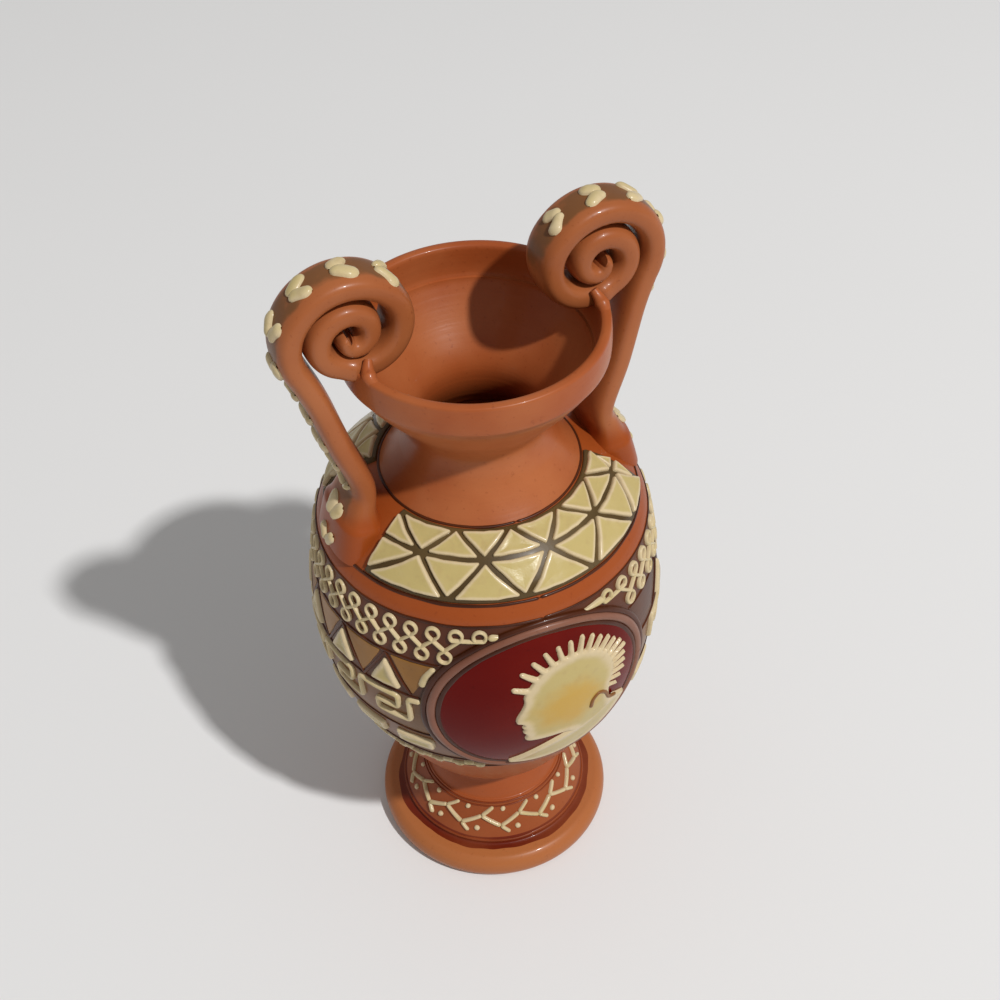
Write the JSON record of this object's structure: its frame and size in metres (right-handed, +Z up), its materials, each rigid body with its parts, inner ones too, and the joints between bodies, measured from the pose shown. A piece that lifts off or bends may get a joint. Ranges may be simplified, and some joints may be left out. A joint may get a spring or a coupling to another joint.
{
  "type": "urn vase",
  "caption": "A tall glazed earthenware urn on a round foot, with a waisted neck, a flared mouth, strap handles that curl into scrolls on the rim, and raised slip bands and a medallion.",
  "frame": {"origin": "the vase's axis where it meets the surface that the foot stands on", "axes": "+Z up along the axis, the two handles along X, the medallion a few degrees to the left of -Y"},
  "size_m": [0.1372, 0.135, 0.2975],
  "materials": {
    "glazed_terracotta": "orange-brown earthenware under a clear glossy glaze",
    "cream_slip": "thick cream slip under the same clear glaze",
    "red_slip": "dark red slip, polished and glossy",
    "mauve_slip": "mauve-brown slip under the clear glaze"
  },
  "bodies": {
    "root": {"body": "glazed_terracotta", "cream_bar_01": "cream_slip", "cream_bar_02": "cream_slip", "cream_bar_03": "cream_slip", "cream_bar_04": "cream_slip", "cream_bar_05": "cream_slip", "cream_bar_06": "cream_slip", "cream_bar_07": "cream_slip", "cream_bar_08": "cream_slip", "cream_bar_09": "cream_slip", "cream_bar_10": "cream_slip", "cream_bar_11": "cream_slip", "cream_bar_12": "cream_slip", "cream_bar_13": "cream_slip", "cream_bar_14": "cream_slip", "cream_bar_15": "cream_slip", "cream_triangle_01": "cream_slip", "cream_triangle_02": "cream_slip", "cream_triangle_03": "cream_slip", "cream_triangle_04": "cream_slip", "cream_triangle_05": "cream_slip", "cream_triangle_06": "cream_slip", "cream_triangle_07": "cream_slip", "cream_triangle_08": "cream_slip", "cream_triangle_09": "cream_slip", "cream_triangle_10": "cream_slip", "cream_triangle_11": "cream_slip", "cream_triangle_12": "cream_slip", "cream_triangle_13": "cream_slip", "cream_triangle_14": "cream_slip", "foot": "glazed_terracotta", "foot_twig_trail": "cream_slip", "handle_left": "glazed_terracotta", "handle_right": "glazed_terracotta", "large_loop_trail": "cream_slip", "meander_trail": "cream_slip", "medallion_disc": "red_slip", "medallion_head": "cream_slip", "medallion_ring": "mauve_slip", "neck_and_mouth": "glazed_terracotta", "shoulder_panel_back": "cream_slip", "shoulder_panel_front": "cream_slip", "small_loop_trail": "cream_slip"}
  },
  "joints": []
}
